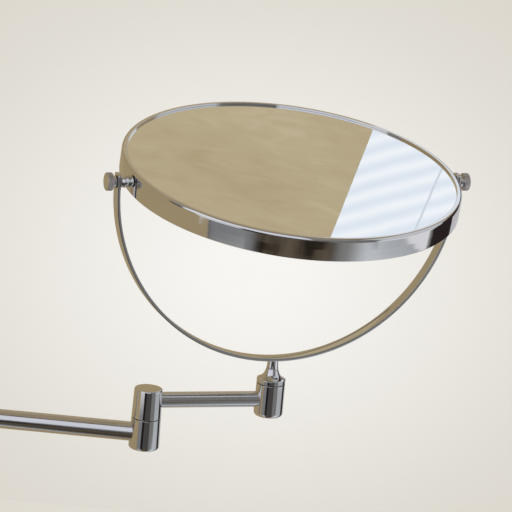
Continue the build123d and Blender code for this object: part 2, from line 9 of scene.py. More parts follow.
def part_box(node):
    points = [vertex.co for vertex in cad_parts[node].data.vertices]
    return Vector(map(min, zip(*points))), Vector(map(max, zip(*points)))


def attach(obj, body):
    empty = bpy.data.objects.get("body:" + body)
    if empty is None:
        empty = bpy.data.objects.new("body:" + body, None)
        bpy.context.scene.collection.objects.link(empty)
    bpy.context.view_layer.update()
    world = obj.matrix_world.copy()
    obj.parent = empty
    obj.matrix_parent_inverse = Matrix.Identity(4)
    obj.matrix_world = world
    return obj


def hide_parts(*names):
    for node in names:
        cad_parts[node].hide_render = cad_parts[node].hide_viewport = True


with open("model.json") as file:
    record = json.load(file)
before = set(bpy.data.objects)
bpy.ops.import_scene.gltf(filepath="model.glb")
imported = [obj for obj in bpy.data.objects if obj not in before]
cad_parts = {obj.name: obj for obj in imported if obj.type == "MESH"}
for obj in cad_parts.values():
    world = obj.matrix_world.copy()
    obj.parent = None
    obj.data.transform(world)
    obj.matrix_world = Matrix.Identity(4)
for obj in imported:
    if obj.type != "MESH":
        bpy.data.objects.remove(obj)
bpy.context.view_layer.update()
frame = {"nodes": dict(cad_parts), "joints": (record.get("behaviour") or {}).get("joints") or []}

# Wall cover
# A round cup spun from thin steel sheet and chromed, which hides the wall plate's screws.
# It slides along the stem and one grub screw underneath bites on the plate's edge.


class Wire:
    """A socket in a material's node tree, with maths written as plain expressions."""

    def __init__(self, finish, socket):
        self.finish, self.socket = finish, socket

    def maths(self, operation, first, second):
        return self.finish.node("ShaderNodeMath", {"operation": operation}, {0: first, 1: second})

    def __add__(self, other):
        return self.maths("ADD", self, other)

    def __radd__(self, other):
        return self.maths("ADD", other, self)

    def __sub__(self, other):
        return self.maths("SUBTRACT", self, other)

    def __rsub__(self, other):
        return self.maths("SUBTRACT", other, self)

    def __mul__(self, other):
        return self.maths("MULTIPLY", self, other)

    def __rmul__(self, other):
        return self.maths("MULTIPLY", other, self)

    def __gt__(self, other):
        return self.maths("GREATER_THAN", self, other)


class Finish:
    """A material whose nodes all come from one method."""

    def __init__(self, name):
        self.material = bpy.data.materials.new(name)
        self.material.use_nodes = True
        self.tree = self.material.node_tree
        self.tree.nodes.clear()

    def node(self, kind, settings, values, output=0):
        made = self.tree.nodes.new(kind)
        for name, value in settings.items():
            if name == "stops":
                for place, _ in value[1:-1]:
                    made.color_ramp.elements.new(place)
                for element, (place, colour) in zip(made.color_ramp.elements, value):
                    element.position, element.color = place, (*colour, 1)
            else:
                setattr(made, name, value)
        for name, value in values.items():
            if isinstance(value, Wire):
                self.tree.links.new(value.socket, made.inputs[name])
            else:
                made.inputs[name].default_value = value
        return Wire(self, made.outputs[output]) if made.outputs else None

    def place(self):
        return self.node("ShaderNodeTexCoord", {}, {}, "Object")

    def noise(self, scale, detail, stretch=(1, 1, 1)):
        stretched = self.node("ShaderNodeMapping", {}, {"Vector": self.place(), "Scale": stretch})
        return self.node(
            "ShaderNodeTexNoise", {}, {"Vector": stretched, "Scale": scale, "Detail": detail}, "Fac"
        )

    def ramp(self, value, stops):
        return self.node("ShaderNodeValToRGB", {"stops": stops}, {"Fac": value})

    def bump(self, height, strength, distance):
        return self.node(
            "ShaderNodeBump", {}, {"Height": height, "Strength": strength, "Distance": distance}
        )

    def end(self, shader):
        self.node("ShaderNodeOutputMaterial", {}, {"Surface": shader})
        return self.material


def polished_chrome():
    """Bright chrome plate: faint wiping marks in the gloss and a trace of ripple from buffing."""
    chrome = Finish("polished chrome")
    wiped = chrome.noise(38.0, 5.0)
    ripple = chrome.noise(210.0, 2.0)
    dust = chrome.noise(900.0, 3.0) > 0.66
    gloss = 0.035 + wiped * 0.035 + dust * 0.02
    tone = chrome.ramp(wiped, [(0.3, (0.74, 0.74, 0.75)), (0.7, (0.79, 0.79, 0.79))])
    return chrome.end(chrome.node("ShaderNodeBsdfPrincipled", {}, {
        "Base Color": tone, "Metallic": 1.0, "Roughness": gloss,
        "Normal": chrome.bump(ripple, 0.06, 0.00004),
    }))


chrome_finish = polished_chrome()


def soften(corners, closed=False, steps=6):
    """Outline of (radius, height) corners; a third number rounds a corner to that radius."""
    line = []
    for i, corner in enumerate(corners):
        here = Vector(corner[:2])
        if len(corner) < 3 or (not closed and i in (0, len(corners) - 1)):
            line.append(here)
            continue
        back = (Vector(corners[i - 1][:2]) - here).normalized()
        ahead = (Vector(corners[(i + 1) % len(corners)][:2]) - here).normalized()
        half = back.angle(ahead) / 2
        reach = corner[2] / math.tan(half)
        centre = here + (back + ahead).normalized() * (corner[2] / math.sin(half))
        first, last = here + back * reach - centre, here + ahead * reach - centre
        sweep = first.angle(last)
        line.append(centre + first + back * reach * 0.15)
        for step in range(steps + 1):
            share = step / steps
            line.append(
                centre
                + (first * math.sin((1 - share) * sweep) + last * math.sin(share * sweep)) / math.sin(sweep)
            )
        line.append(centre + last + ahead * reach * 0.15)
    return line


def turned(name, line, origin, axis, turns, closed=False):
    """Mesh turned from an outline in millimetres about an axis through origin, in metres."""
    axis = Vector(axis).normalized()
    across = axis.orthogonal().normalized()
    along = axis.cross(across)
    shape = bmesh.new()
    rings = []
    for radius, height in line:
        foot = Vector(origin) + axis * height / 1000
        if radius < 1e-6:
            rings.append([shape.verts.new(foot)])
            continue
        rings.append([
            shape.verts.new(
                foot
                + (across * math.cos(k * math.tau / turns) + along * math.sin(k * math.tau / turns))
                * radius / 1000
            )
            for k in range(turns)
        ])
    pairs = list(zip(rings, rings[1:] + rings[:1])) if closed else list(zip(rings, rings[1:]))
    for low, high in pairs:
        for k in range(turns):
            after = k + 1
            face = [
                low[k % len(low)], low[after % len(low)], high[after % len(high)], high[k % len(high)],
            ]
            shape.faces.new(list(dict.fromkeys(face)))
    bmesh.ops.recalc_face_normals(shape, faces=shape.faces)
    mesh = bpy.data.meshes.new(name)
    shape.to_mesh(mesh)
    shape.free()
    mesh.shade_smooth()
    mesh.set_sharp_from_angle(angle=math.radians(42))
    piece = bpy.data.objects.new(name, mesh)
    bpy.context.scene.collection.objects.link(piece)
    return piece


def fit(piece, material, body, slot, *nodes):
    """Give a finished piece its material, body and the CAD nodes it stands for, which it hides; the slot is
    not used.
    """
    piece.data.materials.clear()
    piece.data.materials.append(material)
    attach(piece, body)
    if nodes:
        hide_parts(*nodes)
    return piece


def dress(material, *nodes):
    """Give CAD nodes a better material and leave their shape alone."""
    for node in nodes:
        frame["nodes"][node].data.materials.clear()
        frame["nodes"][node].data.materials.append(material)


cover_low, cover_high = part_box("wall_cover")
cover_r = (cover_high.z - cover_low.z) * 500
cover_foot = cover_low.x * 1000
cover_front = cover_high.x * 1000
stem_hole = 6.3
sheet = 1.4
wall_cover = turned(
    "wall_cover_dressed",
    soften([
        (cover_r - sheet, cover_foot, 0.3),
        (cover_r, cover_foot, 0.4),
        (cover_r, cover_front, 5.0),
        (stem_hole, cover_front, 0.3),
        (stem_hole, cover_front - sheet, 0.3),
        (cover_r - sheet, cover_front - sheet, 3.6),
    ], closed=True),
    (0, 0, 0), (1, 0, 0), 160, closed=True,
)
fit(wall_cover, chrome_finish, "wall_bracket", "chrome", "wall_cover")

# Wall plate, stem bolt and grub screw
# Zinc-plated steel, cut and turned, hidden by the cover: the plate takes three wall screws
# and the bolt comes through it from behind into the stem.


def turned_steel():
    """Zinc-plated steel: grey, with fine turning lines and cloudy plating."""
    steel = Finish("turned steel")
    cloud = steel.noise(120.0, 4.0)
    lines = steel.noise(60.0, 2.0, (40, 1, 1))
    tone = steel.ramp(cloud, [(0.3, (0.42, 0.42, 0.43)), (0.7, (0.60, 0.60, 0.59))])
    return steel.end(steel.node("ShaderNodeBsdfPrincipled", {}, {
        "Base Color": tone, "Metallic": 1.0, "Roughness": 0.26 + cloud * 0.2,
        "Normal": steel.bump(lines, 0.25, 0.00005),
    }))


steel_finish = turned_steel()
dress(
    steel_finish,
    "wall_plate", "stem_bolt", "cover_grub_screw", "wall_pin", "wall_spring_washer",
    "wall_retaining_screw", "elbow_pin", "elbow_spring_washer", "elbow_retaining_screw",
    "swivel_spring_washer", "swivel_retaining_screw",
)

# Stem
# Turned brass bar, chromed, with a flange that seats on the wall plate. The lower wall
# knuckle is brazed to its end.
stem_low, stem_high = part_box("wall_stem")
stem_r, flange_r, flange_t = 6.0, (stem_high.z - stem_low.z) * 500, 2.0
wall_stem = turned(
    "wall_stem_dressed",
    soften([
        (0, stem_low.x * 1000),
        (flange_r, stem_low.x * 1000, 0.2),
        (flange_r, stem_low.x * 1000 + flange_t, 0.5),
        (stem_r, stem_low.x * 1000 + flange_t, 0.8),
        (stem_r, stem_high.x * 1000, 0.2),
        (0, stem_high.x * 1000),
    ]),
    (0, 0, 0), (1, 0, 0), 96,
)
fit(wall_stem, chrome_finish, "wall_bracket", "chrome", "wall_stem")

# Wall joint and elbow knuckles
# Each joint is two turned, slightly tapered brass barrels, one on top of the other, chromed
# and polished. The lower one holds a bush and is closed underneath by a push-in cap.


def joint_place(name):
    """Where a joint is at rest, in metres."""
    return Vector(next(j["pos_m"] for j in frame["joints"] if j["name"] == name))


def lower_barrel(node, joint, foot_r, seam_r, foot_edge, body):
    """Barrel with a soft foot, a crisp seam edge and a shallow recess for its cap."""
    low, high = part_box(node)
    place = joint_place(joint)
    tall = (high.z - low.z) * 1000
    cap_seat_r, recess, seam_edge = 6.1, 0.35, 0.22
    barrel = turned(
        node + "_dressed",
        soften([
            (0, recess),
            (cap_seat_r, recess, 0.05),
            (cap_seat_r, 0, 0.12),
            (foot_r, 0, foot_edge),
            (seam_r, tall, seam_edge),
            (0, tall),
        ]),
        (place.x, place.y, low.z), (0, 0, 1), 128,
    )
    return fit(barrel, chrome_finish, body, "chrome", node)


def upper_barrel(node, joint, seam_r, top_r, body):
    """Closed barrel with a rounded shoulder round its flat top."""
    low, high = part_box(node)
    place = joint_place(joint)
    tall = (high.z - low.z) * 1000
    seam_edge, shoulder = 0.22, 0.9
    barrel = turned(
        node + "_dressed",
        soften([(0, 0), (seam_r, 0, seam_edge), (top_r, tall, shoulder), (0, tall)]),
        (place.x, place.y, low.z), (0, 0, 1), 128,
    )
    return fit(barrel, chrome_finish, body, "chrome", node)


foot_r, seam_r, top_r, foot_edge = 9.25, 8.85, 8.45, 1.6
lower_barrel("wall_knuckle", "wall_swing", foot_r, seam_r, foot_edge, "wall_bracket")
upper_barrel("arm_wall_knuckle", "wall_swing", seam_r, top_r, "long_arm")
lower_barrel("elbow_lower_knuckle", "elbow_swing", foot_r, seam_r, foot_edge, "long_arm")
upper_barrel("elbow_upper_knuckle", "elbow_swing", seam_r, top_r, "short_arm")
dress(chrome_finish, "wall_bottom_cap", "elbow_bottom_cap", "swivel_bottom_cap")

# Bushes
# Black nylon, moulded. A sleeve lines each lower barrel and its flange shows as the dark
# line at the seam; small top-hat bushes and washers do the same at the mirror's pivots.


def black_nylon():
    """Moulded nylon: near black, satin, with a fine moulded grain."""
    nylon = Finish("black nylon")
    grain = nylon.noise(1400.0, 3.0)
    tone = nylon.ramp(grain, [(0.3, (0.012, 0.011, 0.010)), (0.7, (0.030, 0.028, 0.025))])
    return nylon.end(nylon.node("ShaderNodeBsdfPrincipled", {}, {
        "Base Color": tone, "Roughness": 0.42 + grain * 0.15,
        "Normal": nylon.bump(grain, 0.2, 0.00004),
    }))


nylon_finish = black_nylon()
dress(nylon_finish, "wall_bush", "elbow_bush", "swivel_bush", "ear_bushes", "knob_washers")

# Arm tubes
# Drawn brass tube, chromed over a finer but less bright polish than the barrels, brazed
# into their sides. Polishing along the tube leaves faint lengthwise lines.


def drawn_chrome():
    """Chrome over drawn tube: a little duller, with fine lines along the tube."""
    tube = Finish("drawn chrome tube")
    lines = tube.noise(55.0, 3.0, (1, 26, 26))
    wiped = tube.noise(30.0, 4.0)
    tone = tube.ramp(lines, [(0.35, (0.70, 0.70, 0.71)), (0.65, (0.76, 0.76, 0.76))])
    return tube.end(tube.node("ShaderNodeBsdfPrincipled", {}, {
        "Base Color": tone, "Metallic": 1.0, "Roughness": 0.10 + lines * 0.05 + wiped * 0.04,
        "Normal": tube.bump(lines, 0.08, 0.00003),
    }))


tube_finish = drawn_chrome()


def arm_tube(node, start_joint, end_joint, radius, body):
    """Open tube between two barrels, at the height of its CAD node."""
    low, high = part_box(node)
    start, end = joint_place(start_joint), joint_place(end_joint)
    start.z = end.z = (low.z + high.z) / 2
    seat, wall = 0.00645, 1.0
    along = (end - start).normalized()
    length = ((end - start).length - 2 * seat) * 1000
    tube = turned(
        node + "_dressed",
        soften([
            (radius, 0), (radius, length / 2), (radius, length),
            (radius - wall, length), (radius - wall, 0),
        ], closed=True),
        start + along * seat, along, 96, closed=True,
    )
    fit(tube, tube_finish, body, "chrome", node)


long_tube_r, short_tube_r = 5.75, 4.75
arm_tube("long_arm_tube", "wall_swing", "elbow_swing", long_tube_r, "long_arm")
arm_tube("short_arm_tube", "elbow_swing", "yoke_swivel", short_tube_r, "short_arm")

# Swivel barrel
# One turned and chromed barrel at the short arm's end, a little taller than a knuckle, with
# a softer foot. The yoke's shank turns in it.
barrel_foot_r, barrel_seam_r, barrel_foot_edge = 8.85, 8.7, 2.2
lower_barrel(
    "swivel_barrel", "yoke_swivel", barrel_foot_r, barrel_seam_r, barrel_foot_edge, "short_arm"
)

# Yoke neck
# Turned brass: a collar as wide as the barrel, then a cove that sweeps up to a slim neck
# brazed under the yoke's strip. The shank below the collar is hidden in the barrel.
neck_low, neck_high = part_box("yoke_neck")
swivel = joint_place("yoke_swivel")
collar_r, collar_h, collar_flat = (neck_high.x - neck_low.x) * 500, 2.6, 0.35
neck_top_r, neck_h = 3.25, 11.6
neck_top = (neck_high.z - swivel.z) * 1000
collar_foot = neck_top - neck_h - collar_h
shank_r = 4.0


def cove(steps):
    """Smooth line from the collar's edge in and up to the slim neck."""
    start = Vector((collar_r - collar_flat, collar_foot + collar_h))
    end = Vector((neck_top_r, neck_top))
    sweep_in, sweep_down = Vector((-3.3, 1.5)), Vector((0, -7.4))
    pull_in, pull_down = start + sweep_in, end + sweep_down
    for step in range(steps + 1):
        t = step / steps
        yield (
            start * (1 - t) ** 3 + pull_in * 3 * t * (1 - t) ** 2
            + pull_down * 3 * t * t * (1 - t) + end * t**3
        )


yoke_neck = turned(
    "yoke_neck_dressed",
    [
        *soften([
            (0, (neck_low.z - swivel.z) * 1000),
            (shank_r, (neck_low.z - swivel.z) * 1000, 0.3),
            (shank_r, collar_foot),
            (collar_r, collar_foot, 0.25),
            (collar_r, collar_foot + collar_h, 0.3),
            (collar_r - 0.45, collar_foot + collar_h),
        ])[:-1],
        *cove(28),
        Vector((0, neck_top)),
    ],
    (swivel.x, swivel.y, swivel.z), (0, 0, 1), 128,
)
fit(yoke_neck, chrome_finish, "yoke", "chrome", "yoke_neck")

# Yoke band
# Flat brass strip, 8.2 by 2 mm, bent to half a ring with straight ears, its ends rounded,
# then chromed. It is brazed on top of the neck; bushes and washers hide the ears' holes.
tilt = next(j for j in frame["joints"] if j["name"] == "mirror_tilt")
pivot = Vector(tilt["pos_m"])
pivot_axis = Vector(tilt["axis"]).normalized()
yoke_side = Vector((0, 0, 1)).cross(pivot_axis)
band_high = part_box("yoke_band")[1]
strip_w, strip_t, strip_edge = 0.0082, 0.0020, 0.00035
ear_rise, ear_corner = band_high.z - pivot.z, 0.0020
ring_r, ring_drop = 0.1077, 0.0022


def band_path(arc_steps, ear_steps):
    """Middle of the strip, from the left ear's end down and round to the right ear's end."""
    yield from (
        Vector((-ring_r, 0, ear_rise - (ear_rise + ring_drop) * (k / ear_steps) ** 1.5))
        for k in range(ear_steps)
    )
    for k in range(arc_steps + 1):
        angle = math.pi * (1 + k / arc_steps)
        yield Vector((ring_r * math.cos(angle), 0, ring_r * math.sin(angle) - ring_drop))
    yield from (
        Vector((ring_r, 0, ear_rise - (ear_rise + ring_drop) * (k / ear_steps) ** 1.5))
        for k in reversed(range(ear_steps))
    )


def tree_with(name, sizes, material_name):
    """Geometry Nodes tree with a geometry in and out, named size inputs and a material input."""
    tree = bpy.data.node_groups.new(name, "GeometryNodeTree")
    tree.interface.new_socket("Geometry", in_out="INPUT", socket_type="NodeSocketGeometry")
    tree.interface.new_socket("Geometry", in_out="OUTPUT", socket_type="NodeSocketGeometry")
    for size in sizes:
        kind = "NodeSocketInt" if isinstance(sizes[size], int) else "NodeSocketFloat"
        tree.interface.new_socket(size, in_out="INPUT", socket_type=kind)
    tree.interface.new_socket(material_name, in_out="INPUT", socket_type="NodeSocketMaterial")
    return tree, tree.nodes.new("NodeGroupInput"), tree.nodes.new("NodeGroupOutput")


def grow(tree, kind, settings, values, output=0):
    """One node of a Geometry Nodes tree, with its sockets set or linked."""
    made = tree.nodes.new(kind)
    for name, value in settings.items():
        setattr(made, name, value)
    for name, value in values.items():
        if isinstance(value, bpy.types.NodeSocket):
            tree.links.new(value, made.inputs[name])
        else:
            made.inputs[name].default_value = value
    return made.outputs[output]


def run_tree(source, tree, sizes, material_name, material, name):
    """Run a tree on an object and keep the result as a plain mesh piece."""
    modifier = source.modifiers.new(name, "NODES")
    modifier.node_group = tree
    for item in tree.interface.items_tree:
        if item.in_out == "INPUT" and item.name in sizes:
            modifier[item.identifier] = sizes[item.name]
        elif item.in_out == "INPUT" and item.name == material_name:
            modifier[item.identifier] = material
    bpy.context.view_layer.update()
    ready = source.evaluated_get(bpy.context.evaluated_depsgraph_get())
    mesh = bpy.data.meshes.new_from_object(ready)
    source.modifiers.clear()
    bpy.data.objects.remove(source)
    mesh.name = name
    piece = bpy.data.objects.new(name, mesh)
    bpy.context.scene.collection.objects.link(piece)
    return piece


band_sizes = {"Strip width": strip_w, "Strip thickness": strip_t, "Edge rounding": strip_edge}
band_tree, given, result = tree_with("bent strip", band_sizes, "Strip finish")
strip_section = grow(band_tree, "GeometryNodeCurvePrimitiveQuadrilateral", {"mode": "RECTANGLE"}, {
    "Width": given.outputs["Strip thickness"], "Height": given.outputs["Strip width"],
})
strip_section = grow(band_tree, "GeometryNodeFilletCurve", {"mode": "POLY"}, {
    "Curve": strip_section, "Count": 4, "Radius": given.outputs["Edge rounding"],
})
bent = grow(band_tree, "GeometryNodeCurveToMesh", {}, {
    "Curve": given.outputs["Geometry"], "Profile Curve": strip_section, "Fill Caps": True,
})
bent = grow(band_tree, "GeometryNodeRealizeInstances", {}, {"Geometry": bent})
bent = grow(band_tree, "GeometryNodeSetMaterial", {}, {
    "Geometry": bent, "Material": given.outputs["Strip finish"],
})
band_tree.links.new(bent, result.inputs["Geometry"])

path_points = list(band_path(180, 16))
path_curve = bpy.data.curves.new("band path", "CURVE")
path_curve.dimensions = "3D"
spline = path_curve.splines.new("POLY")
spline.points.add(len(path_points) - 1)
for point, at in zip(spline.points, path_points):
    point.co = (*at, 1)
path_object = bpy.data.objects.new("band path", path_curve)
bpy.context.scene.collection.objects.link(path_object)
yoke_band = run_tree(path_object, band_tree, band_sizes, "Strip finish", chrome_finish, "yoke_band_dressed")
corner_start = ear_rise - ear_corner
for vertex in yoke_band.data.vertices:
    over = max(0.0, min(1.0, (vertex.co.z - corner_start) / ear_corner))
    narrowed = strip_w / 2 - ear_corner * (1 - math.sqrt(max(0.0, 1 - over * over)))
    vertex.co.y *= narrowed / (strip_w / 2)
yoke_band.data.transform(
    Matrix.Translation(pivot)
    @ Matrix((pivot_axis, yoke_side, Vector((0, 0, 1)))).transposed().to_4x4()
)
band_shape = bmesh.new()
band_shape.from_mesh(yoke_band.data)
bmesh.ops.remove_doubles(band_shape, verts=band_shape.verts, dist=1e-7)
bmesh.ops.recalc_face_normals(band_shape, faces=band_shape.faces)
band_shape.to_mesh(yoke_band.data)
band_shape.free()
yoke_band.data.shade_smooth()
yoke_band.data.set_sharp_from_angle(angle=math.radians(42))
fit(yoke_band, chrome_finish, "yoke", "chrome", "yoke_band")

# Mirror rim
# Brass band rolled round the glasses, its front lip turned over and rounded, chromed and
# polished. The whole head turns on two pivots in the lower third of the band.
rim_tilt = math.radians(9.1)
head_normal = (Vector((0, 0, 1)) * math.cos(rim_tilt) - yoke_side * math.sin(rim_tilt)).normalized()
rim_r, rim_wall, rim_above, rim_below = 101.9, 1.2, 9.4, 4.6
lip_r, lip_t, lip_round, lip_inner_round = 98.7, 1.2, 1.9, 0.22
crown, crown_low_round, crown_high_round = 0.05, 30.0, 40.0
mirror_rim = turned(
    "mirror_rim_dressed",
    soften([
        (rim_r - rim_wall, -rim_below, 0.25),
        (rim_r - crown, -rim_below, 0.55),
        (rim_r - crown / 3, 0.2 * rim_above - 0.8 * rim_below, crown_low_round),
        (rim_r, (rim_above - rim_below) / 2, crown_high_round),
        (rim_r - crown, rim_above, lip_round),
        (lip_r, rim_above, lip_inner_round),
        (lip_r, rim_above - lip_t, 0.1),
        (rim_r - rim_wall, rim_above - lip_t, 0.1),
    ], closed=True, steps=8),
    pivot, head_normal, 360, closed=True,
)
fit(mirror_rim, chrome_finish, "mirror_head", "chrome", "mirror_rim")

# Mirror glasses
# Silvered float glass: flat in front, dished behind so that it magnifies. The lip holds the
# front one's edge, where its ground edge shows as a thin dark line.


def silvered_glass():
    """Silvered glass: a clean mirror, hardly green, with the faintest smears."""
    silver = Finish("silvered glass")
    smear = silver.noise(9.0, 4.0, (1, 3, 1))
    speck = silver.noise(700.0, 2.0) > 0.72
    tone = silver.ramp(smear, [(0.3, (0.895, 0.905, 0.895)), (0.7, (0.92, 0.93, 0.92))])
    return silver.end(silver.node("ShaderNodeBsdfPrincipled", {}, {
        "Base Color": tone, "Metallic": 1.0, "Roughness": 0.004 + smear * 0.006 + speck * 0.02,
    }))


glass_finish = silvered_glass()
seat_gap = 0.05
front_top = rim_above - lip_t - seat_gap
glass_r, front_glass_t, ground_edge = 100.6, 2.5, 0.2
front_glass = turned(
    "front_glass_dressed",
    soften([
        (0, front_top - front_glass_t), (glass_r, front_top - front_glass_t, ground_edge),
        (glass_r, front_top, ground_edge), (0, front_top),
    ]),
    pivot, head_normal, 256,
)
fit(front_glass, glass_finish, "mirror_head", "mirror_glass", "front_glass")
ring_lip_t = 1.3
dish_r, dish_edge, dish_sag, dish_t = 99.75, -rim_below + ring_lip_t + seat_gap, 4.0, 2.2


def dish(height, inward):
    """Points of the dished face from its middle to its edge, or back."""
    steps = 24
    bend_r = (dish_r**2 + dish_sag**2) / (2 * dish_sag)
    points = [
        (dish_r * k / steps, height + dish_sag - bend_r + math.sqrt(bend_r**2 - (dish_r * k / steps) ** 2))
        for k in range(steps + 1)
    ]
    return points[::-1] if inward else points


magnifying_glass = turned(
    "magnifying_glass_dressed", [*dish(dish_edge, False), *dish(dish_edge + dish_t, True)],
    pivot, head_normal, 256,
)
fit(magnifying_glass, glass_finish, "mirror_head", "mirror_glass", "magnifying_glass")

# Back ring
# A thin chromed ring pressed into the rim from behind, which holds the dished glass.
ring_outer, ring_upstand, ring_wall = 100.65, 1.0, 0.8
back_ring = turned(
    "back_ring_dressed",
    soften([
        (lip_r, -rim_below, 0.35),
        (ring_outer, -rim_below, 0.2),
        (ring_outer, -rim_below + ring_lip_t + ring_upstand),
        (ring_outer - ring_wall, -rim_below + ring_lip_t + ring_upstand),
        (ring_outer - ring_wall, -rim_below + ring_lip_t),
        (lip_r, -rim_below + ring_lip_t, 0.2),
    ], closed=True),
    pivot, head_normal, 256, closed=True,
)
fit(back_ring, chrome_finish, "mirror_head", "chrome", "back_ring")

# Fillings of the head
# A dark foam board behind the flat glass and a spacer ring between the glasses, both out of
# sight inside the rim.


def foam_board():
    """Dense dark foam: matt, finely pitted."""
    foam = Finish("dark foam board")
    pits = foam.noise(800.0, 4.0)
    tone = foam.ramp(pits, [(0.3, (0.035, 0.035, 0.035)), (0.7, (0.07, 0.07, 0.07))])
    return foam.end(foam.node("ShaderNodeBsdfPrincipled", {}, {
        "Base Color": tone, "Roughness": 0.8 + pits * 0.15, "Normal": foam.bump(pits, 0.5, 0.0002),
    }))


dress(foam_board(), "backing_disc", "spacer_ring")

# Pivot bosses
# Small turned bosses, rounded like a bead, riveted through the rim at each side. Each is
# drilled and tapped for its thumb screw's stud.
boss_end_r, boss_mid_r, boss_length = 3.1, 3.6, 3.95
tapped_r, tapped_foot, root_r, root_depth = 2.05, rim_r + 0.9, 1.7, 1.0


def boss(name, side):
    """One bead-shaped boss on the outside of the rim."""
    steps = 16
    line = [(0, rim_r - root_depth), (root_r, rim_r - root_depth), (boss_end_r, rim_r - 0.02)]
    for k in range(steps + 1):
        share = k / steps
        swell = math.sin(math.pi * share)
        line.append((boss_end_r + (boss_mid_r - boss_end_r) * swell, rim_r + boss_length * share))
    line += [(tapped_r, rim_r + boss_length), (tapped_r, tapped_foot), (0, tapped_foot)]
    return turned(name, line, pivot, pivot_axis * side, 64)


left_boss, right_boss = boss("left_boss", -1), boss("right_boss", 1)
fit(left_boss, chrome_finish, "mirror_head", "chrome", "pivot_bosses")
fit(right_boss, chrome_finish, "mirror_head", "chrome", "pivot_bosses")

# Thumb screws
# Turned brass: a thick round head with a fine straight knurl round its side, a short hub
# and a stud that pins the mirror. Satin chrome on the grip, polished on the end face.


def satin_chrome():
    """Chrome over a blasted surface: pale, soft and finely grained."""
    satin = Finish("satin chrome")
    grain = satin.noise(1500.0, 3.0)
    handled = satin.noise(160.0, 3.0)
    tone = satin.ramp(handled, [(0.3, (0.60, 0.565, 0.54)), (0.7, (0.70, 0.665, 0.64))])
    return satin.end(satin.node("ShaderNodeBsdfPrincipled", {}, {
        "Base Color": tone, "Metallic": 1.0, "Roughness": 0.36 + grain * 0.10,
        "Normal": satin.bump(grain, 0.05, 0.00002),
    }))


satin_finish = satin_chrome()
knob_r, knob_t, hub_r, stud_r = 5.4, 3.7, 3.5, 2.0
knob_end, hub_foot = 115.0, 109.3
knob_face = knob_end - knob_t
ridge_r, grip_edge = 0.10, 0.45
core_r = knob_r - ridge_r
stud_foot, hub_sunk = rim_r + 0.95, 0.6
face_r, face_sunk, face_edge = 4.6, 0.3, 0.12
knurl_sizes = {
    "Ridges": 96, "Ring radius": core_r / 1000, "Ridge radius": ridge_r / 1000, "Ridge length": 0.0026,
}
knurl_tree, given, result = tree_with("straight knurl", knurl_sizes, "Knurl finish")
ring = grow(knurl_tree, "GeometryNodeMeshCircle", {"fill_type": "NONE"}, {
    "Vertices": given.outputs["Ridges"], "Radius": given.outputs["Ring radius"],
})
ridge = grow(knurl_tree, "GeometryNodeMeshCylinder", {"fill_type": "NGON"}, {
    "Vertices": 6, "Radius": given.outputs["Ridge radius"], "Depth": given.outputs["Ridge length"],
})
ridges = grow(knurl_tree, "GeometryNodeInstanceOnPoints", {}, {"Points": ring, "Instance": ridge})
ridges = grow(knurl_tree, "GeometryNodeRealizeInstances", {}, {"Geometry": ridges})
both = knurl_tree.nodes.new("GeometryNodeJoinGeometry")
knurl_tree.links.new(ridges, both.inputs["Geometry"])
knurl_tree.links.new(given.outputs["Geometry"], both.inputs["Geometry"])
knurled = grow(knurl_tree, "GeometryNodeSetMaterial", {}, {
    "Geometry": both.outputs["Geometry"], "Material": given.outputs["Knurl finish"],
})
knurl_tree.links.new(knurled, result.inputs["Geometry"])


def thumb_screw(name, side):
    """Knurled grip at its own origin, moved out along the pivot axis, and the polished rest."""
    half = knob_t / 2
    outer = half - 0.03
    core = turned(
        name + " core",
        soften([(0, -half), (core_r, -half, grip_edge), (core_r, outer, grip_edge), (0, outer)]),
        (0, 0, 0), (0, 0, 1), 144,
    )
    grip = run_tree(core, knurl_tree, knurl_sizes, "Knurl finish", satin_finish, name + "_grip")
    turn = (pivot_axis * side).to_track_quat("Z", "Y").to_matrix().to_4x4()
    grip.data.transform(Matrix.Translation(pivot + pivot_axis * side * (knob_face + half) / 1000) @ turn)
    fit(grip, satin_finish, name, "satin_chrome", name)
    rest = turned(
        name + "_stud",
        soften([
            (0, stud_foot), (stud_r, stud_foot, 0.3), (stud_r, hub_foot), (hub_r, hub_foot, 0.25),
            (hub_r, knob_face + hub_sunk), (0, knob_face + hub_sunk),
        ]),
        pivot, pivot_axis * side, 72,
    )
    fit(rest, chrome_finish, name, "satin_chrome")
    face = turned(
        name + "_end_face",
        soften([
            (0, knob_end - face_sunk), (face_r, knob_end - face_sunk),
            (face_r, knob_end, face_edge), (0, knob_end),
        ]),
        pivot, pivot_axis * side, 96,
    )
    fit(face, chrome_finish, name, "satin_chrome")


thumb_screw("left_knob", -1)
thumb_screw("right_knob", 1)

# Camera
# It stands where the photograph was taken from: two metres in front of the pivots, a little
# above them and leaning about five degrees.
camera_data = bpy.data.cameras.new("camera")
camera_data.sensor_width = 36.0
camera_data.lens = 236.5
camera = bpy.data.objects.new("camera", camera_data)
bpy.context.scene.collection.objects.link(camera)
bpy.context.scene.camera = camera
yaw, pitch, roll = 0.003482, 0.265538, 0.094571
camera_from_pivot = Vector((-0.00939, -1.93868, 0.47975))
ahead = Vector((-math.sin(yaw) * math.cos(pitch), math.cos(yaw) * math.cos(pitch), -math.sin(pitch)))
level = Vector((math.cos(yaw), math.sin(yaw), 0))
upright = level.cross(ahead)
camera_right = level * math.cos(roll) + upright * math.sin(roll)
camera_up = upright * math.cos(roll) - level * math.sin(roll)
camera.matrix_world = (
    Matrix.Translation(pivot + camera_from_pivot)
    @ Matrix((camera_right, camera_up, -ahead)).transposed().to_4x4()
)
camera_data.clip_end = 60.0
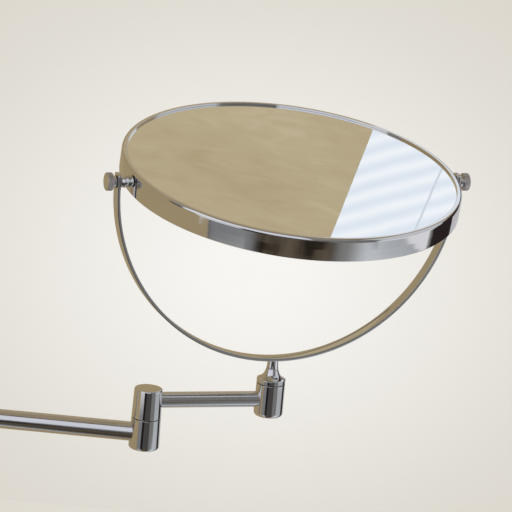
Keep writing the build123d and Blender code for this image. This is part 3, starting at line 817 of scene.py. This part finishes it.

# Floor, backdrop and world
# Plain warm-white paper far below and far behind the mirror. Seen by the camera and in
# reflections it is palest past the mirror, where a pool of soft light is painted into its colour; it still
# takes a shadow.
floor_z, backdrop_y = -1.0, 2.7
paper_half, paper_top, paper_foot = 9, 6, floor_z - 3
# Centre and reach of the pool of light painted into the paper's colour.
painted_light_centre, painted_light_reach = (0.24, backdrop_y, -0.62), (0.72, 6.0, 0.60)


def backdrop_paper(name):
    """Warm white paper with a painted pool of light, brightest where the camera looks past the mirror."""
    paper = Finish(name)
    own_glow = 0.8
    # Painted pool of light: the paper's colour grows paler towards a spot past the mirror.
    spread = paper.node("ShaderNodeMapping", {"vector_type": "TEXTURE"}, {
        "Vector": paper.place(), "Location": painted_light_centre, "Scale": painted_light_reach,
    })
    painted_light_falloff = paper.node("ShaderNodeTexGradient", {"gradient_type": "SPHERICAL"}, {"Vector": spread}, "Fac")
    tone = paper.ramp(painted_light_falloff, [
        (0.0, (0.735, 0.70, 0.63)), (0.35, (0.80, 0.775, 0.72)), (0.7, (0.92, 0.905, 0.87)),
        (0.92, (0.98, 0.975, 0.955)),
    ])
    lit = paper.node("ShaderNodeBsdfDiffuse", {}, {"Color": tone, "Roughness": 0.9})
    glow = paper.node("ShaderNodeEmission", {}, {"Color": tone, "Strength": 1.0})
    rays = [paper.node("ShaderNodeLightPath", {}, {}, ray + " Ray") for ray in (
        "Is Camera", "Is Glossy", "Is Transmission",
    )]
    shown = paper.node("ShaderNodeMixShader", {}, {
        0: (rays[0] + rays[1] + rays[2]) * own_glow, 1: lit, 2: glow,
    })
    behind = paper.node("ShaderNodeNewGeometry", {}, {}, "Backfacing")
    clear = paper.node("ShaderNodeBsdfTransparent", {}, {})
    return paper.end(paper.node("ShaderNodeMixShader", {}, {0: behind, 1: shown, 2: clear}))


def paper_sheet(name, corners):
    """One flat sheet of the backdrop."""
    mesh = bpy.data.meshes.new(name)
    mesh.from_pydata(corners, [], [(0, 1, 2, 3)])
    mesh.materials.append(backdrop_paper(name))
    sheet_object = bpy.data.objects.new(name, mesh)
    bpy.context.scene.collection.objects.link(sheet_object)


paper_sheet("floor", [
    (-paper_half, -paper_half, floor_z), (paper_half, -paper_half, floor_z),
    (paper_half, paper_half, floor_z), (-paper_half, paper_half, floor_z),
])
paper_sheet("backdrop", [
    (-paper_half, backdrop_y, paper_foot), (paper_half, backdrop_y, paper_foot),
    (paper_half, backdrop_y, paper_top), (-paper_half, backdrop_y, paper_top),
])

world = bpy.data.worlds.new("pale studio")
bpy.context.scene.world = world
world.use_nodes = True
world.node_tree.nodes["Background"].inputs["Color"].default_value = (0.80, 0.78, 0.74, 1)
world.node_tree.nodes["Background"].inputs["Strength"].default_value = 0.85

# Reflector cards
# Glowing panels that only polished metal and glass see, standing where a photographer stands
# a tan board, white fabric and black flags round a chromed thing: they paint the reflections
# and highlights in the metal and glass. A nearer card hides a farther one.
stage_middle = Vector((0.23, 0.0, 0.12))


def reflection_glow(name, colour, feather, mottled):
    """Glowing card that paints a reflection; its edges fade out over a share of its width, and a mottled
    one has dark patches.
    """
    card = Finish(name)
    across, up = (
        card.node("ShaderNodeSeparateXYZ", {}, {"Vector": card.node("ShaderNodeUVMap", {}, {})}, side)
        for side in ("X", "Y")
    )
    near_edge = card.node("ShaderNodeMath", {"operation": "MINIMUM"}, {
        0: across * (1 - across), 1: up * (1 - up),
    })
    solid = card.node("ShaderNodeMapRange", {"interpolation_type": "SMOOTHSTEP"}, {
        "Value": near_edge, "From Min": 0.0, "From Max": max(feather, 0.001), "To Min": 0.0, "To Max": 1.0,
    })
    tone = (*colour, 1)
    if mottled:
        dim, lit = tuple(c * 0.3 for c in colour), tuple(c * 1.7 for c in colour)
        tone = card.ramp(card.noise(4.5, 3.0, (1.0, 1.0, 2.5)), [(0.38, dim), (0.46, colour), (0.66, lit)])
    glow = card.node("ShaderNodeEmission", {}, {"Color": tone, "Strength": 1.0})
    clear = card.node("ShaderNodeBsdfTransparent", {}, {})
    return card.end(card.node("ShaderNodeMixShader", {}, {0: solid, 1: clear, 2: glow}))


def only_in_reflections(panel):
    """Hide a stage panel from everything but glossy surfaces."""
    bpy.context.scene.collection.objects.link(panel)
    panel.visible_camera = panel.visible_diffuse = panel.visible_shadow = False
    panel.visible_transmission = panel.visible_volume_scatter = False


def card(name, azimuths, elevations, colour, feather=0.02, mottled=False, distance=1.0):
    """Curved card; azimuth 0 is towards the camera and turns towards +X, in degrees."""
    steps_across, steps_up = 36, 14
    points, faces, corners = [], [], []
    for j in range(steps_up + 1):
        for i in range(steps_across + 1):
            share, rise = i / steps_across, j / steps_up
            azimuth = math.radians(azimuths[0] + (azimuths[1] - azimuths[0]) * share)
            elevation = math.radians(elevations[0] + (elevations[1] - elevations[0]) * rise)
            points.append(stage_middle + distance * Vector((
                math.sin(azimuth) * math.cos(elevation), -math.cos(azimuth) * math.cos(elevation),
                math.sin(elevation),
            )))
            corners.append((share, rise))
    for j in range(steps_up):
        for i in range(steps_across):
            low = j * (steps_across + 1) + i
            faces.append((low, low + 1, low + steps_across + 2, low + steps_across + 1))
    mesh = bpy.data.meshes.new(name)
    mesh.from_pydata(points, [], faces)
    layer = mesh.uv_layers.new(name="UVMap")
    for loop in mesh.loops:
        layer.data[loop.index].uv = corners[loop.vertex_index]
    mesh.materials.append(reflection_glow(name, colour, feather, mottled))
    only_in_reflections(bpy.data.objects.new(name, mesh))


olive, dark = (0.40, 0.315, 0.185), (0.016, 0.014, 0.013)
low, level, side_level = (-86, -8), (-24, -9), (-20.5, -3)
# Each card glows in its own colour and is seen only in reflections: together they paint the reflections and
# highlights in the chrome and glass.
card("dark room all round", (-181, 181), (-88, 22), (0.10, 0.09, 0.08), distance=1.11, feather=0.0)
card("grey ceiling all round", (-181, 181), (20, 58), (0.30, 0.29, 0.28), distance=2.9, feather=0.0)
card("tan ceiling", (-181, 181), (57, 89), (0.34, 0.275, 0.19), distance=2.8, feather=0.0)
card("tan ceiling behind", (100, 260), (10, 60), (0.42, 0.34, 0.24), distance=2.6, feather=0.0)
card("olive board left", (-152, -78), (-86, 56), olive, feather=0.01, distance=1.08)
card("olive board behind", (-192, -150), (-86, 20), olive, feather=0.01, distance=1.07)
card("olive board, near edge", (-90, -52), low, olive, feather=0.02, distance=1.06)
card("pale fabric left", (-60, -25), side_level, (0.72, 0.72, 0.74), feather=0.08, distance=0.94)
card("grey fabric low left", (-55, -8), low, (0.225, 0.23, 0.24), feather=0.13, distance=1.01)
card("pale floor cloth left", (-54, -24), (-86, -22), (0.50, 0.50, 0.51), feather=0.16, distance=0.98)
card("black flag in front", (-27, -9), (-24, -3), dark, feather=0.06, distance=0.935)
card("dark room in front", (-11, 38), level, (0.075, 0.07, 0.067), feather=0.05, distance=0.95)
card(
    "dark room low in front", (-24, 40), low, (0.075, 0.060, 0.042),
    feather=0.14, mottled=True, distance=1.0,
)
card("grey wall right", (30, 68), level, (0.20, 0.20, 0.195), feather=0.10, distance=0.94)
card("grey wall low right", (34, 76), low, (0.24, 0.24, 0.235), feather=0.20, distance=0.985)
card("window light right", (62, 112), side_level, (0.80, 0.80, 0.83), feather=0.05, distance=0.92)
card("window light low right", (44, 118), low, (0.74, 0.78, 0.83), feather=0.26, distance=0.97)
card("black flag right", (113, 141), (-86, 20), (0.026, 0.018, 0.018), feather=0.06, distance=0.905)
card("grey behind right", (139, 172), (-86, 12), (0.56, 0.55, 0.57), feather=0.08, distance=1.01)
card("pale ceiling left", (-68, -34), (-4, 57), (0.86, 0.86, 0.90), feather=0.10, distance=1.01)
card("pale ceiling in front", (-40, 22), (0, 57), (0.78, 0.80, 0.88), feather=0.05, distance=1.0)
card("grey ceiling edge in front", (-42, 24), (-10, 4), (0.24, 0.24, 0.245), feather=0.10, distance=0.99)
card("grey ceiling in front", (20, 64), (-4, 50), (0.20, 0.195, 0.19), feather=0.05, distance=0.98)
card("white edge over the grey", (18, 66), (49, 57), (0.55, 0.55, 0.55), feather=0.10, distance=0.975)
card("window light high", (60, 124), (-4, 54), (0.62, 0.64, 0.68), feather=0.10, distance=0.97)
card("thin dark batten", (-60, 100), (56, 64), dark, feather=0.10, distance=0.94)

# Wall and window behind
# Glowing panels seen only in reflections, painting what the flat glass shows: a plain tan wall on the left
# and, past an upright edge, a bright pale-blue window with a soft blind on the right.


def upright_panel(name, x_range, z_range, far, material):
    """Flat upright panel behind the mirror that faces the camera."""
    mesh = bpy.data.meshes.new(name)
    mesh.from_pydata(
        [(x_range[0], far, z_range[0]), (x_range[1], far, z_range[0]),
         (x_range[2], far, z_range[1]), (x_range[3], far, z_range[1])], [], [(0, 1, 2, 3)],
    )
    layer = mesh.uv_layers.new(name="UVMap")
    for loop, corner in zip(layer.data, ((0, 0), (1, 0), (1, 1), (0, 1))):
        loop.uv = corner
    mesh.materials.append(material)
    only_in_reflections(bpy.data.objects.new(name, mesh))


def tan_wall():
    """Glowing tan panel with faint trowel marks: a painted reflection of a plaster wall."""
    wall = Finish("tan wall")
    patches = wall.noise(7.0, 6.0, (1, 1, 1.6))
    trowel = wall.node("ShaderNodeTexNoise", {}, {
        "Vector": wall.node("ShaderNodeMapping", {}, {
            "Vector": wall.place(), "Rotation": (0, math.radians(35), 0), "Scale": (1, 1, 3.2),
        }),
        "Scale": 16.0, "Detail": 4.0, "Distortion": 1.8,
    }, "Fac")
    tone = wall.ramp(patches * 0.55 + trowel * 0.45, [
        (0.34, (0.455, 0.365, 0.225)), (0.48, (0.495, 0.408, 0.262)), (0.54, (0.503, 0.42, 0.27)),
        (0.68, (0.555, 0.47, 0.315)),
    ])
    return wall.end(wall.node("ShaderNodeEmission", {}, {"Color": tone, "Strength": 1.0}))


def blind_window():
    """Glowing panel, a painted reflection of a bright window behind a soft blind: slanting bands of
    blue-white; its thin cord is a panel of its own.
    """
    window = Finish("blind window")
    turned_place = window.node("ShaderNodeMapping", {}, {
        "Vector": window.place(), "Rotation": (0, math.radians(-31), 0),
    })
    bands = window.node("ShaderNodeTexWave", {"wave_type": "BANDS", "bands_direction": "Z"}, {
        "Vector": turned_place, "Scale": 15.5, "Distortion": 1.3, "Detail": 2.0,
    }, "Fac")
    tone = window.ramp(bands, [
        (0.0, (0.79, 0.85, 0.95)), (0.55, (0.86, 0.91, 0.99)), (1.0, (0.93, 0.965, 1.02)),
    ])
    return window.end(window.node("ShaderNodeEmission", {}, {"Color": tone, "Strength": 1.0}))


panel_far, panel_heights = 1.4, (0.6, 1.4)
wall_left, edge_foot, edge_top, window_right = -0.9, 0.457, 0.364, 1.1
upright_panel("tan wall", (wall_left, edge_foot, edge_top, wall_left), panel_heights, panel_far, tan_wall())
upright_panel(
    "blind window", (edge_foot, window_right, window_right, edge_top), panel_heights, panel_far,
    blind_window(),
)
cord_x, cord_heights, cord_far = (0.5245, 0.5275, 0.4765, 0.4735), (0.75, 1.13), panel_far - 0.01
cord_glow = reflection_glow("blind cord", (0.66, 0.71, 0.80), 0.2, False)
upright_panel("blind cord", cord_x, cord_heights, cord_far, cord_glow)

# Lamps
# Two large soft boxes at a plain level, one overhead and one from the front left.
for lamp_name, spot, width, power in (
    ("overhead soft box", Vector((0.1, -0.5, 1.7)), 1.2, 22.0),
    ("front soft box", Vector((-1.4, -1.5, 0.9)), 0.9, 12.0),
):
    lamp_data = bpy.data.lights.new(lamp_name, "AREA")
    lamp_data.size = width
    lamp_data.energy = power
    lamp = bpy.data.objects.new(lamp_name, lamp_data)
    bpy.context.scene.collection.objects.link(lamp)
    lamp.location = spot
    lamp.visible_glossy = False
    lamp.rotation_mode = "QUATERNION"
    lamp.rotation_quaternion = (stage_middle - spot).to_track_quat("-Z", "Y")

bpy.context.scene.view_settings.view_transform = "Standard"
